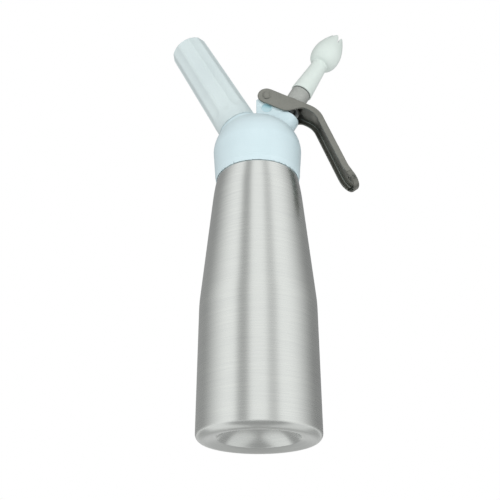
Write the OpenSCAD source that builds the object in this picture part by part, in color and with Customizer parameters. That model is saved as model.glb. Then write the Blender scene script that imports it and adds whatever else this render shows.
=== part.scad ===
// Half-litre whipped cream dispenser, millimetres, +Z up
// The origin is the centre of the ring that the bottle stands on
// +X points towards the nozzle and the lever, -X towards the charger holder

/* [Bottle] */
// Outer radius of the straight body
bottle_r = 39.7; // [34:0.5:48]
// Height of the straight body, up to where the cone starts
straight_h = 91; // [70:1:110]
// Height of the cone above the straight body
cone_h = 101.5; // [85:0.5:120]
// Outer radius at the top of the cone, before its crown rounds it in
cone_top_r = 30.5; // [30.2:0.1:31.5]
// Height of the crown that rounds the cone in towards the neck
crown_h = 22; // [16:0.5:28]
// Radius of that crown
crown_r = 200; // [160:5:400]
// Radius that blends the straight body into the cone
shoulder_blend_r = 110; // [60:5:160]
// Radius that rounds the top edge of the crown
cone_edge_r = 1; // [0.6:0.1:1.2]
// Wall thickness of the drawn aluminium
bottle_wall = 1.6; // [1:0.1:2.2]
// Radius of the rounded corner at the base
base_corner_r = 4.5; // [3.5:0.5:7]
// Width of the flat ring that the bottle stands on
ring_w = 2.2; // [1:0.1:3]
// Distance from that ring in to the mouth of the domed base
punt_inset = 6.2; // [5:0.1:7]
// Rise of that mouth above the ring
punt_rise = 2; // [1:0.1:3]
// Depth of the domed base
punt_depth = 13; // [8:0.5:18]
// Radius that rounds the mouth of the domed base
punt_edge_r = 1.2; // [0.8:0.1:1.6]
// Outer radius of the neck thread
neck_r = 27.2; // [26:0.1:28]
// Bore radius of the neck
neck_bore_r = 22.5; // [22:0.1:23.5]
// Height of the neck above the cone
neck_h = 13.5; // [11:0.5:15]

/* [Head] */
// Radius of the dome
dome_r = 32.8; // [32.4:0.1:36]
// Height of the dome above its widest place
dome_h = 29.1; // [27:0.1:33]
// Outer radius of the skirt at its lower lip
lip_r = 31.2; // [31:0.1:32]
// How far the skirt reaches down over the cone
skirt_overlap = 3.5; // [2:0.5:5]
// How far the lower lip rounds in
lip_in = 0.8; // [0.3:0.1:0.9]
// Height over which the lower lip rounds in
lip_rise = 3.2; // [1:0.1:4]
// Centre of the dome above the rim of the neck
dome_rise = 8; // [6:0.5:10]
// Radius of the space under the dome
cavity_r = 21.5; // [20.5:0.1:22.5]
// Centre of the space under the dome, above the gasket
cavity_rise = 5.6; // [4:0.2:7]
// Thickness of the silicone gasket on the rim of the neck
gasket_t = 2.4; // [1.5:0.1:3]
// Width of the ear between its flat sides
ear_w = 17.4; // [16:0.1:17.5]
// Radius of the ear round the lever's pin
ear_r = 5.2; // [4.6:0.1:5.2]
// Distance of the ear's upright back from the lever's pin
ear_back = 7.9; // [7:0.1:9]
// Drop of the ear's flat shoulder below the lever's pin
ear_drop = 2.1; // [1:0.1:3]
// Radius of the low collar under the charger holder
collar_r = 15.9; // [15.7:0.1:16.8]
// Radius of the shallow round mark in each side of the turret
mark_r = 4; // [3:0.1:4.5]
// Depth of that mark
mark_depth = 0.4; // [0.2:0.1:0.8]

/* [Outlet] */
// Height above the rim of the neck at which the nozzle axis starts
outlet_rise = 4; // [3:0.5:5]
// Lean of the nozzle axis away from vertical, in degrees
outlet_tilt = 29.3; // [26:0.1:32]
// Height of the turret along the nozzle axis
turret_h = 44.2; // [42:0.1:46]
// Width of the turret between its flat sides
turret_w = 17.6; // [16:0.1:18]
// Offset of the turret's round nose from the nozzle axis
turret_nose = 3; // [1:0.1:5]
// Radius of the spring well
well_r = 6.4; // [6.2:0.1:6.8]
// Height of the shelf that carries the guide bush
shelf_h = 31; // [29:0.5:33]
// Height of the valve seat
seat_h = 24.3; // [23:0.1:26]
// Radius of the passage between the valve seat and the shelf
passage_r = 5.2; // [4.8:0.1:5.6]
// Height of the guide bush
bush_h = 5; // [4:0.5:6]

/* [Valve] */
// Radius of the hollow stem
stem_r = 4; // [3.6:0.1:4.4]
// Bore radius of the hollow stem
stem_bore_r = 2.6; // [2:0.1:3]
// Radius of the stem flange that the lever presses
flange_r = 8.4; // [7:0.1:8.6]
// Thickness of the stem flange
flange_t = 2.2; // [1.5:0.1:3]
// Height of the top of the flange along the nozzle axis
flange_h = 52.2; // [51:0.1:53]
// Radius of the threaded foot of the stem
stem_foot_r = 2.2; // [1.8:0.1:2.6]
// Radius of the sealing ring
seal_r = 7.2; // [6.6:0.1:7.6]
// Thickness of the sealing ring
seal_t = 2; // [1.5:0.1:2.5]
// Thickness of the washer under the sealing ring
washer_t = 1.2; // [0.8:0.1:1.6]
// Thickness of the nut on the foot of the stem
nut_t = 3; // [2:0.1:4]
// Width of that nut across its flats
nut_af = 8; // [7:0.1:9]
// Mean radius of the return spring
spring_r = 5.3; // [5.1:0.05:5.5]
// Wire radius of the return spring
wire_r = 0.6; // [0.4:0.05:0.7]
// Number of curls in the return spring
spring_curls = 5; // [4:1:6]

/* [Tip] */
// Radius of the metal adapter
adapter_r = 7.85; // [7.5:0.05:8.2]
// Height of the adapter's lower face along the nozzle axis
adapter_h = 60.3; // [60:0.1:61.5]
// Length of the adapter that shows
adapter_len = 10.1; // [8:0.1:12]
// Radius of the adapter's thread
tip_thread_r = 6.5; // [6:0.1:6.7]
// Length of the adapter's thread
tip_thread_len = 10.4; // [8:0.1:12]
// Outer radius of the decorating tip at its foot
tip_foot_r = 8.65; // [8.4:0.05:9.2]
// Length of the decorating tip
tip_len = 64; // [58:0.5:70]
// Outer radius of the tip's waist
waist_r = 6.3; // [6:0.05:6.8]
// Height of the waist above the foot
waist_h = 32.5; // [28:0.5:36]
// Largest radius of the tulip
tulip_r = 11.7; // [10.5:0.1:13]
// Height of the widest place of the tulip above the foot
tulip_h = 43; // [40:0.5:46]
// Radius at the points of the tulip
point_r = 5; // [4:0.1:6]
// Wall thickness of the decorating tip
tip_wall = 1.6; // [1.2:0.1:1.8]
// Number of petals
petals = 6; // [5:1:8]
// Width of each petal at its point
petal_end_w = 1.2; // [0.8:0.1:1.6]
// Depth of the notches between the petals
notch_depth = 6.5; // [4:0.5:8]
// Length of the slit below each notch
slit_len = 3; // [2:0.5:4]
// Width of that slit
slit_w = 0.8; // [0.6:0.1:1]

/* [Inlet] */
// Height above the rim of the neck at which the holder's axis starts
inlet_rise = 6; // [5:0.5:7]
// Lean of the charger holder's axis away from vertical, in degrees
inlet_tilt = 27.9; // [26:0.1:30]
// Height of the collar's flat top that the holder stands on, along the inlet axis
flat_h = 31; // [30:0.1:32]
// Outer radius of the threaded stub
stub_r = 10.4; // [10:0.1:10.8]
// Length of the threaded stub above the flat
stub_len = 22; // [20:0.5:23]
// Radius of the stub's shank inside the head
shank_r = 6.5; // [6:0.1:7]
// Length of the shank below the nut
shank_tail = 4; // [3:0.5:5]
// Radius of the shank's tail inside the rubber sleeve
tail_r = 4; // [3.5:0.1:4.5]
// Height of the flat face inside the head that the nut is drawn against
inlet_face_h = 22; // [21:0.5:23]
// Thickness of the washer under that nut
inlet_washer_t = 1; // [0.6:0.1:1.4]
// Thickness of the nut inside the head
inlet_nut_t = 4; // [3:0.5:5]
// Width of that nut across its flats
inlet_nut_af = 16; // [15:0.1:17]
// Height of the charger's mouth above the collar
charger_seat = 20.2; // [18:0.1:21]
// Radius of the piercing needle
needle_r = 1.1; // [0.9:0.1:1.5]
// Reach of the needle into the charger
needle_reach = 3; // [2:0.5:4]
// Radius of the piercing pin's threaded body
pin_body_r = 3.1; // [2.8:0.1:3.4]
// Length of the piercing pin's threaded body
pin_body_len = 7; // [5:0.5:8]
// Thickness of the gasket round the needle
charger_gasket_t = 2.5; // [2:0.1:3]

/* [Charger] */
// Radius of the gas charger
charger_r = 8.9; // [8.6:0.1:9.2]
// Length of the gas charger
charger_len = 65.5; // [62:0.5:67]
// Radius of the charger's neck
charger_neck_r = 4.3; // [4:0.1:4.6]
// Length of the charger's neck
charger_neck_len = 8; // [6:0.5:10]
// Wall thickness of the charger
charger_wall = 1.2; // [0.8:0.1:1.6]
// Length of the charger's shoulder
shoulder_len = 8; // [6:0.5:10]
// Height of the charger's domed end
charger_dome = 7; // [5:0.5:9]
// Radius of the holder at its open end
holder_r = 15.7; // [15:0.1:16]
// Radius of the holder at its closed end
holder_end_r = 14.5; // [14:0.1:15]
// Radius that rounds the open end
holder_rim_round = 0.8; // [0.4:0.1:1.2]
// Radius that rounds the closed end
holder_round = 2.4; // [1.5:0.1:3]
// Rise of the closed end towards its middle
holder_crown = 0.6; // [0.2:0.1:1]
// Thickness of the closed end
holder_end_wall = 3; // [2:0.5:5]
// Number of flutes
flutes = 10; // [8:1:14]
// Depth of the flutes
flute_depth = 0.9; // [0.5:0.1:1.1]
// Radius of the round cutter that leaves each flute
flute_r = 16; // [10:0.5:20]
// Plain band between the flutes and the open end
flute_start = 8.7; // [6:0.1:16]
// Length of the brass thread insert in the holder
insert_len = 19; // [12:0.5:20]
// Wall of the brass thread insert
insert_wall = 1.6; // [1.2:0.1:2]

/* [Lever] */
// Distance of the pivot from the nozzle axis
pivot_d = 18.9; // [18:0.1:20]
// Height of the pivot along the nozzle axis
pivot_h = 48.5; // [48:0.1:49]
// Width of the lever over its arms
lever_w = 21.6; // [20.6:0.1:23]
// Thickness of the sheet
sheet_t = 1.4; // [1.2:0.1:1.6]
// Radius of the lever's pivot end
lever_end_r = 6.9; // [6.5:0.1:7.2]
// Rise of the lever's back from the pivot to the bend
back_rise = 1.1; // [0.6:0.1:1.6]
// Length of the lever's back from the pivot to the corner of the bend
back_len = 41.5; // [38:0.5:46]
// Outer radius of the bend
bend_r = 20; // [14:0.5:24]
// Turn of the bend, in degrees
bend_turn = 41.9; // [36:0.1:46]
// Length of the handle from the corner of the bend to the turn of its pad
handle_len = 56.5; // [50:0.5:75]
// Turn of the pad outward from the handle, in degrees
pad_turn = 17.2; // [10:0.1:24]
// Length from that turn to the middle of the pad
pad_len = 2.4; // [1:0.1:4]
// Depth of the handle's channel
handle_depth = 4.6; // [4:0.1:5.5]
// Length of the arms' straight lower edge past the pivot
arm_len = 17.4; // [14:0.1:20]
// Length of the sweep from that edge up to the bend
sweep_len = 14.5; // [10:0.1:16]
// Radius of the hole that the stem passes through
web_hole_r = 5.6; // [5.4:0.1:5.8]
// Radius of the two dimples that press the flange
dimple_r = 1.6; // [1.2:0.1:1.8]
// Distance of each dimple from the middle of the lever
dimple_y = 7.3; // [7.2:0.1:7.4]
// Radius of the round pad at the end of the handle
pad_r = 10.9; // [10.9:0.1:13]
// Radius of the hanging hole in the pad
pad_hole_r = 2; // [1.2:0.1:2.5]
// Distance of that hole from the middle of the pad, towards the handle's end
pad_hole_shift = 1; // [0:0.5:4]
// Radius of the two small holes in the pad's rim
side_hole_r = 1.2; // [0.8:0.1:1.5]
// Turn of each of those holes from the handle's end, in degrees
side_hole_turn = 60; // [30:1:90]
// Radius of the pivot pin
pin_r = 2; // [1.6:0.1:2.4]
// Radius of the pin's domed heads
pin_head_r = 3.6; // [3:0.1:4.2]
// Height of the pin's domed heads
pin_head_h = 0.8; // [0.5:0.1:1.2]

/* [Hidden] */

// Clearances
thread_gap = 0.2;   // radial play of every screw thread
run_gap = 0.05;     // radial play of shafts and guides
part_gap = 0.3;     // between pieces that pass each other
touch_gap = 0.05;   // between a seal and its seat
dimple_gap = 0.4;   // between the lever's dimples and the flange
cut = 1;            // overrun of every cut
steps = 14;         // chords in a quarter turn of an outline

$fn = 96;

// Finishes
bare_metal = [0.80, 0.81, 0.82];
pale_enamel = [0.84, 0.91, 0.93];
pale_plastic = [0.87, 0.90, 0.89];
pressed_steel = [0.55, 0.56, 0.54];
turned_steel = [0.66, 0.67, 0.66];
brass = [0.80, 0.66, 0.36];
black_rubber = [0.09, 0.09, 0.10];
grey_rubber = [0.55, 0.56, 0.58];

// Heights along the bottle axis
cone_lean = atan((bottle_r - cone_top_r) / cone_h);
cone_top_z = straight_h + cone_h;
neck_top_z = cone_top_z + neck_h;
seat_z = neck_top_z + gasket_t;
dome_z = neck_top_z + dome_rise;
lip_z = cone_top_z - skirt_overlap;
lip_bore_r = crown_arc(crown_r, lip_z)[steps][0] + part_gap;
cavity_z = seat_z + cavity_rise;
outlet_z = neck_top_z + outlet_rise;
inlet_z = neck_top_z + inlet_rise;

// Heights along the nozzle axis
bush_top_h = shelf_h + bush_h;
groove_share = 0.3; // of the bush below its groove
groove_low_h = shelf_h + bush_h * groove_share;
o_ring_r = 0.75;
o_ring_play = 0.1;
flange_low_h = flange_h - flange_t;
seal_top_h = seat_h - touch_gap;
washer_top_h = seal_top_h - seal_t;
nut_top_h = washer_top_h - washer_t;
foot_end_h = nut_top_h - nut_t;
stem_floor = 2.2;   // solid length above the stem's foot
port_r = 1.5;       // of the four ports in the stem
port_h = seat_h + port_r + stem_floor;
tip_shoulder_h = adapter_h + adapter_len;
tip_seal_t = 0.6;
tip_foot_h = tip_shoulder_h + tip_seal_t;
seat_edge = 1.2;    // width of the seat's boss outside the seal
seat_boss_r = seal_r + seat_edge;

// Heights along the inlet axis
nut_edge = 1.3;     // width of the nut's boss outside the corners of the nut
nut_boss_r = inlet_nut_af / 2 / cos(30) + nut_edge;
inlet_nut_top_h = inlet_face_h - inlet_washer_t;
inlet_nut_low_h = inlet_nut_top_h - inlet_nut_t;
shank_end_h = inlet_nut_low_h - shank_tail;
stub_top_h = flat_h + stub_len;
charger_low_h = flat_h + charger_seat;
holder_low_h = flat_h + part_gap;
holder_inside = charger_low_h + charger_len + touch_gap - holder_low_h;
holder_len = holder_inside + holder_end_wall;
gasket_top_h = charger_low_h - touch_gap;
gasket_low_h = gasket_top_h - charger_gasket_t;
gas_bore_r = 1.2;
needle_bore_r = 0.4;
insert_r = stub_r + thread_gap + insert_wall;
insert_low_h = holder_low_h + holder_rim_round;

// The lever's own outline, from its pivot and along its back
back_lean = atan(back_rise / back_len);
bend_x = back_len - bend_r * tan(bend_turn / 2);
bend_y = lever_end_r - bend_r;
ear_front = pivot_d - ear_r;

// A place given by its distance right of and height along the nozzle axis, as X and Z
function on_nozzle(q, s) = [
    q * cos(outlet_tilt) + s * sin(outlet_tilt),
    outlet_z - q * sin(outlet_tilt) + s * cos(outlet_tilt)
];
pivot = on_nozzle(-pivot_d, pivot_h);

// Points along an arc about [x, y]
function arc(x, y, r, from, to, n = steps) =
    [for (i = [0:n]) let (a = from + (to - from) * i / n) [x + r * cos(a), y + r * sin(a)]];

// The crown of the cone up to a height, about the centre that its outer surface has
function crown_arc(r, top_z) = let (
    start_z = cone_top_z - crown_h,
    start_x = cone_top_r + crown_h * tan(cone_lean),
    x = start_x - crown_r * cos(cone_lean),
    z = start_z - crown_r * sin(cone_lean)
) arc(x, z, r, cone_lean, asin((top_z - z) / r));

module along_outlet(h = 0) {
    translate([0, 0, outlet_z]) rotate([0, outlet_tilt, 0]) translate([0, 0, h]) children();
}

module along_inlet(h = 0) {
    translate([0, 0, inlet_z]) rotate([0, -inlet_tilt, 0]) translate([0, 0, h]) children();
}

// A round bar between two heights
module bar(r, low, high) {
    translate([0, 0, low]) cylinder(r = r, h = high - low);
}

// A tube between two heights
module tube(r, bore_r, low, high) {
    difference() {
        bar(r, low, high);
        bar(bore_r, low - cut, high + cut);
    }
}

// A hexagon nut between two heights
module nut(across_flats, bore_r, low, high) {
    difference() {
        translate([0, 0, low]) cylinder(d = across_flats / cos(30), h = high - low, $fn = 6);
        bar(bore_r, low - cut, high + cut);
    }
}

// An outline in X and Z, drawn out along Y to both sides
module across(w) {
    rotate([90, 0, 0]) translate([0, 0, -w / 2]) linear_extrude(w) children();
}

// A quarter of a round disc, to be turned into half a ball
module quarter_disc(r) {
    intersection() {
        circle(r = r);
        square(r);
    }
}

module bottle() {
    blend_len = shoulder_blend_r * tan(cone_lean / 2);
    blend_x = bottle_r - shoulder_blend_r;
    blend_z = straight_h - blend_len;
    ring_r = bottle_r - base_corner_r - ring_w;
    punt_r = ring_r - punt_inset;
    sphere_r = (punt_r * punt_r + punt_depth * punt_depth) / (2 * punt_depth);
    sphere_z = punt_rise + punt_depth - sphere_r;
    edge_z = punt_rise + punt_edge_r;
    edge_x = sqrt(pow(sphere_r + punt_edge_r, 2) - pow(edge_z - sphere_z, 2));
    edge_a = atan((edge_z - sphere_z) / edge_x);
    inner_r = sphere_r + bottle_wall;
    inner_a = asin((bottle_wall + punt_rise - sphere_z) / inner_r);
    inner_top_z = cone_top_z - 2 * bottle_wall;
    crown = crown_arc(crown_r, cone_top_z - cone_edge_r);
    color(bare_metal) rotate_extrude() polygon(concat(
        arc(0, sphere_z, sphere_r, 90, edge_a),
        arc(edge_x, edge_z, punt_edge_r, 180 + edge_a, 270, 6),
        [[ring_r, 0]],
        arc(bottle_r - base_corner_r, base_corner_r, base_corner_r, -90, 0),
        arc(blend_x, blend_z, shoulder_blend_r, 0, cone_lean, 6),
        crown,
        [[crown[steps][0] - cone_edge_r, cone_top_z]],
        [[neck_r, cone_top_z], [neck_r, neck_top_z], [neck_bore_r, neck_top_z]],
        [[neck_bore_r, inner_top_z]],
        [for (i = [steps:-1:0]) crown_arc(crown_r - bottle_wall, inner_top_z - bottle_wall)[i]],
        arc(blend_x, blend_z, shoulder_blend_r - bottle_wall, cone_lean, 0, 6),
        arc(bottle_r - base_corner_r, base_corner_r, base_corner_r - bottle_wall, 0, -90),
        arc(0, sphere_z, inner_r, inner_a, 90)
    ));
}

module head_gasket() {
    color(grey_rubber) tube(neck_r, neck_bore_r, neck_top_z, seat_z);
}

// The head without its bores
module head_body() {
    rotate_extrude() {
        polygon(concat(
            [[0, lip_z]],
            [for (p = arc(0, 0, 1, -90, 0, 8))
                [lip_r - lip_in + lip_in * p[0], lip_z + lip_rise * (1 + p[1])]],
            [for (p = arc(0, 0, 1, 0, 90)) [dome_r * p[0], dome_z + dome_h * p[1]]]
        ));
    }
    along_outlet() linear_extrude(turret_h) {
        translate([turret_nose, 0]) circle(r = turret_w / 2);
        translate([-ear_front, -turret_w / 2]) square([ear_front + turret_nose, turret_w]);
    }
    across(ear_w) {
        ear_top = pivot[1] - ear_drop;
        front_top = on_nozzle(-ear_front, pivot_h);
        front_low = on_nozzle(-ear_front, shelf_h);
        translate(pivot) circle(r = ear_r);
        polygon([[pivot[0] - ear_back, dome_z], [pivot[0] - ear_back, ear_top], [pivot[0], ear_top],
            front_top, front_low, [front_low[0], dome_z]]);
    }
}

module head() {
    spot_r = holder_r + part_gap;
    spot_h = dome_r + inlet_rise - flat_h;
    color(pale_enamel) difference() {
        union() {
            difference() {
                head_body();
                bar(lip_bore_r, lip_z - cut, cone_top_z + part_gap);
                bar(neck_r + thread_gap, lip_z, seat_z);
                rotate_extrude() {
                    translate([0, lip_z]) square([cavity_r, cavity_z - lip_z]);
                    translate([0, cavity_z]) quarter_disc(cavity_r);
                }
            }
            along_inlet() bar(collar_r, inlet_face_h, flat_h);
            along_outlet() bar(seat_boss_r, seat_h, shelf_h);
            along_inlet() bar(nut_boss_r, inlet_face_h, flat_h - cut);
        }
        along_outlet() {
            bar(seat_boss_r, seat_h - seat_boss_r, seat_h);
            bar(passage_r, seat_h - cut, shelf_h + cut);
            bar(well_r, shelf_h, turret_h + cut);
        }
        along_inlet() {
            bar(nut_boss_r, inlet_face_h - nut_boss_r, inlet_face_h);
            bar(shank_r + run_gap, inlet_face_h - cut, flat_h + cut);
            bar(spot_r, flat_h, flat_h + spot_h);
        }
        translate([pivot[0], 0, pivot[1]]) across(turret_w + 2 * cut) circle(r = pin_r + run_gap);
        for (side = [-1, 1])
            along_outlet() translate([-ear_front, side * turret_w / 2, turret_h - mark_r - cut])
                across(2 * mark_depth) circle(r = mark_r);
    }
}

// Turned stub that the charger holder screws on to
module inlet_insert() {
    socket_low_h = gasket_low_h - pin_body_len;
    color(turned_steel) along_inlet() difference() {
        union() {
            bar(tail_r, shank_end_h, inlet_nut_low_h);
            bar(shank_r, inlet_nut_low_h, flat_h);
            bar(stub_r, flat_h, stub_top_h);
        }
        bar(gas_bore_r, shank_end_h + gas_bore_r, socket_low_h + cut);
        bar(pin_body_r + run_gap, socket_low_h, gasket_low_h + cut);
        bar(charger_neck_r + part_gap, gasket_low_h, stub_top_h + cut);
        translate([0, 0, shank_end_h + shank_tail / 2])
            across(2 * tail_r + cut) circle(r = gas_bore_r / 2);
    }
}

module inlet_washer() {
    color(bare_metal) along_inlet()
        tube(nut_boss_r - part_gap, shank_r + run_gap, inlet_nut_top_h, inlet_face_h);
}

module inlet_nut() {
    color(turned_steel) along_inlet()
        nut(inlet_nut_af, shank_r + run_gap, inlet_nut_low_h, inlet_nut_top_h);
}

// Hollow needle on a threaded body
module piercing_pin() {
    needle_end_h = charger_low_h + needle_reach;
    color(turned_steel) along_inlet() difference() {
        union() {
            bar(pin_body_r, gasket_low_h - pin_body_len, gasket_low_h);
            bar(needle_r, gasket_low_h, charger_low_h);
            translate([0, 0, charger_low_h])
                cylinder(r1 = needle_r, r2 = needle_bore_r + run_gap, h = needle_end_h - charger_low_h);
        }
        bar(needle_bore_r, gasket_low_h - pin_body_len - cut, needle_end_h + cut);
    }
}

module charger_gasket() {
    color(black_rubber) along_inlet() tube(charger_neck_r, needle_r + run_gap, gasket_low_h, gasket_top_h);
}

// Rubber sleeve that closes the ports in the shank's tail
module check_valve() {
    color(black_rubber) along_inlet()
        tube(shank_r - part_gap, tail_r + run_gap, shank_end_h + touch_gap, inlet_nut_low_h - touch_gap);
}

// Half outline of the charger, drawn in from its surface by a wall
function charger_side(wall) = concat(
    [for (i = [0:steps]) let (u = i / steps)
        [charger_neck_r - wall + (charger_r - charger_neck_r) * (1 - cos(180 * u)) / 2,
            charger_neck_len + shoulder_len * u]],
    [for (i = [0:steps]) let (a = 90 * i / steps)
        [(charger_r - wall) * cos(a), charger_len - charger_dome + (charger_dome - wall) * sin(a)]]
);

module charger() {
    side = charger_side(0);
    inside = charger_side(charger_wall);
    color(turned_steel) along_inlet(charger_low_h) rotate_extrude() polygon(concat(
        [[charger_neck_r - charger_wall, 0], [charger_neck_r, 0]],
        side,
        [for (i = [len(inside) - 1:-1:0]) inside[i]]
    ));
}

module charger_seal() {
    seal_r_in = charger_neck_r - charger_wall - run_gap;
    color(bare_metal) along_inlet(charger_low_h)
        tube(seal_r_in, needle_r + run_gap, touch_gap, charger_wall / 2);
}

module flute() {
    run_out = sqrt(pow(flute_r, 2) - pow(flute_r - flute_depth, 2));
    taper = atan((holder_r - holder_end_r) / holder_len);
    translate([0, flute_depth - holder_r - flute_r, 0]) rotate([-taper, 0, 0])
        translate([0, 0, flute_start + run_out]) rotate_extrude() {
            square([flute_r, holder_len]);
            mirror([0, 1]) quarter_disc(flute_r);
        }
}

module charger_holder() {
    color(pale_enamel) along_inlet(holder_low_h) difference() {
        rotate_extrude() polygon(concat(
            [[0, 0]],
            arc(holder_r - holder_rim_round, holder_rim_round, holder_rim_round, -90, 0, 6),
            arc(holder_end_r - holder_round, holder_len - holder_crown - holder_round,
                holder_round, 0, 90, 8),
            [[0, holder_len]]
        ));
        for (k = [1:flutes]) rotate(360 * (k - 0.5) / flutes) flute();
        bar(insert_r + run_gap, -cut, stub_len + cut);
        bar(charger_r + part_gap, 0, holder_inside);
    }
}

// Brass thread moulded into the open end of the holder
module holder_insert() {
    color(brass) along_inlet() tube(insert_r, stub_r + thread_gap, insert_low_h, insert_low_h + insert_len);
}

// Guide of the stem, with a groove for its ring
module valve_bush() {
    groove_h = 2 * o_ring_r + 2 * run_gap;
    color(pale_plastic) along_outlet() difference() {
        tube(well_r - run_gap, stem_r + run_gap, shelf_h, bush_top_h);
        bar(stem_r + o_ring_play + 2 * o_ring_r + run_gap, groove_low_h, groove_low_h + groove_h);
    }
}

module stem_o_ring() {
    color(black_rubber) along_outlet(groove_low_h + o_ring_r + run_gap)
        rotate_extrude() translate([stem_r + o_ring_play + o_ring_r, 0]) circle(r = o_ring_r);
}

// Path of the return spring: its pitch eases towards both ends
rings = 8;
sides = 6;
spring_end_ease = 0.25;
spring_low = wire_r + touch_gap;
spring_rise = flange_low_h - bush_top_h - 2 * spring_low;
spring_path = [for (i = [0:spring_curls * rings]) let (
    u = i / (spring_curls * rings),
    z = spring_low + spring_rise * (u - spring_end_ease * sin(360 * u) / (2 * PI)))
    [spring_r * cos(360 * i / rings), spring_r * sin(360 * i / rings), z]];
spring_gap = min([for (i = [0:len(spring_path) - 1]) for (j = [i + rings / 2:len(spring_path) - 1])
    norm(spring_path[i] - spring_path[j])]) - 2 * wire_r;
echo(str("Least gap between the curls of the spring: ", spring_gap, " mm"));

module valve_spring() {
    last = len(spring_path) - 1;
    slope = atan(spring_rise / (spring_curls * 2 * PI * spring_r));
    points = [for (i = [0:last]) for (j = [0:sides - 1]) let (
        a = 360 * i / rings,
        b = 360 * j / sides,
        out = wire_r * cos(b),
        up = wire_r * sin(b))
        spring_path[i] + [out * cos(a) + up * sin(slope) * sin(a),
            out * sin(a) - up * sin(slope) * cos(a), up * cos(slope)]];
    faces = concat(
        [for (j = [1:sides - 2]) [0, j, j + 1]],
        [for (j = [1:sides - 2]) [last * sides, last * sides + j + 1, last * sides + j]],
        [for (i = [0:last - 1]) for (j = [0:sides - 1]) for (half = [0, 1]) let (
            a = i * sides + j,
            b = i * sides + (j + 1) % sides)
            half == 0 ? [a, a + sides, b + sides] : [a, b + sides, b]]
    );
    color(turned_steel) along_outlet(bush_top_h) polyhedron(points = points, faces = faces);
}

// Hollow stem with the flange that the lever presses and ports above the seal
module valve_stem() {
    color(turned_steel) along_outlet() difference() {
        union() {
            bar(stem_foot_r, foot_end_h, seal_top_h + cut);
            bar(stem_r, seal_top_h, tip_shoulder_h);
            bar(flange_r, flange_low_h, flange_h);
        }
        bar(stem_bore_r, seal_top_h + stem_floor, tip_shoulder_h + cut);
        for (turn = [0, 90])
            translate([0, 0, port_h]) rotate(turn) across(2 * stem_r + cut) circle(r = port_r);
    }
}

module valve_seal() {
    color(black_rubber) along_outlet() tube(seal_r, stem_foot_r + run_gap, washer_top_h, seal_top_h);
}

module valve_washer() {
    washer_r = seal_r - part_gap;
    color(bare_metal) along_outlet() tube(washer_r, stem_foot_r + run_gap, nut_top_h, washer_top_h);
}

module valve_nut() {
    color(turned_steel) along_outlet() nut(nut_af, stem_foot_r + run_gap, foot_end_h, nut_top_h);
}

module tip_adapter() {
    color(turned_steel) along_outlet() difference() {
        union() {
            bar(adapter_r, adapter_h, tip_shoulder_h);
            bar(tip_thread_r, tip_shoulder_h - cut, tip_shoulder_h + tip_thread_len);
        }
        bar(stem_r + run_gap, adapter_h - cut, tip_shoulder_h + touch_gap);
        bar(stem_bore_r, tip_shoulder_h, tip_shoulder_h + tip_thread_len + cut);
    }
}

module tip_seal() {
    color(black_rubber) along_outlet()
        tube(adapter_r + run_gap, tip_thread_r + thread_gap, tip_shoulder_h, tip_foot_h);
}

// Half outline of the tulip, drawn in from its surface by a wall
function tulip_side(wall) = concat(
    [for (i = [0:steps]) let (a = 90 * i / steps)
        [waist_r - wall + (tulip_r - waist_r) * sin(a),
            waist_h + wall + (tulip_h - waist_h - wall) * (1 - cos(a))]],
    [for (i = [1:steps]) let (a = 90 * i / steps)
        [point_r - wall + (tulip_r - point_r) * cos(a), tulip_h + (tip_len - tulip_h) * i / steps]]
);

module decorating_tip() {
    thread_r = tip_thread_r + thread_gap;
    thread_end = tip_thread_len + part_gap;
    side = tulip_side(0);
    inside = tulip_side(tip_wall);
    notch_w = point_r * sin(180 / petals) - petal_end_w / 2;
    notch_low = tip_len - notch_depth;
    color(pale_plastic) along_outlet(tip_foot_h) difference() {
        rotate_extrude() polygon(concat(
            [[tip_foot_r, 0]],
            side,
            [for (i = [len(inside) - 1:-1:0]) inside[i]],
            [[waist_r - tip_wall, thread_end], [thread_r, thread_end], [thread_r, 0]]
        ));
        for (k = [1:petals]) rotate(360 * k / petals) rotate([90, 0, 90]) linear_extrude(tulip_r + cut) {
            polygon([[0, notch_low], [notch_w, tip_len], [notch_w, tip_len + cut],
                [-notch_w, tip_len + cut], [-notch_w, tip_len]]);
            translate([-slit_w / 2, notch_low - slit_len]) square([slit_w, slit_len + slit_w]);
        }
    }
}

module on_lever() {
    along_outlet() translate([-pivot_d, 0, pivot_h]) rotate([0, -back_lean, 0]) children();
}

// The pad's frame starts at its middle, with X away from the handle
module on_pad() {
    on_lever() translate([back_len, 0, lever_end_r]) rotate([0, bend_turn, 0])
        translate([handle_len, 0, 0]) rotate([0, -pad_turn, 0]) translate([pad_len, 0, 0]) children();
}

// A point past the pad's turn, along a lean and inward from its line
function pad_point(along, inward, lean) = [
    back_len + handle_len * cos(bend_turn) + along * cos(lean) - inward * sin(lean),
    lever_end_r - handle_len * sin(bend_turn) - along * sin(lean) - inward * cos(lean)
];

// The line of the lever at a depth below its outer surface, from the bend to the middle of the pad
function lever_line(depth) = concat(
    arc(bend_x, bend_y, bend_r - depth, 90, 90 - bend_turn, steps),
    [pad_point(0, depth / cos(pad_turn / 2), bend_turn - pad_turn / 2),
        pad_point(pad_len, depth, bend_turn - pad_turn)]
);

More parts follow.
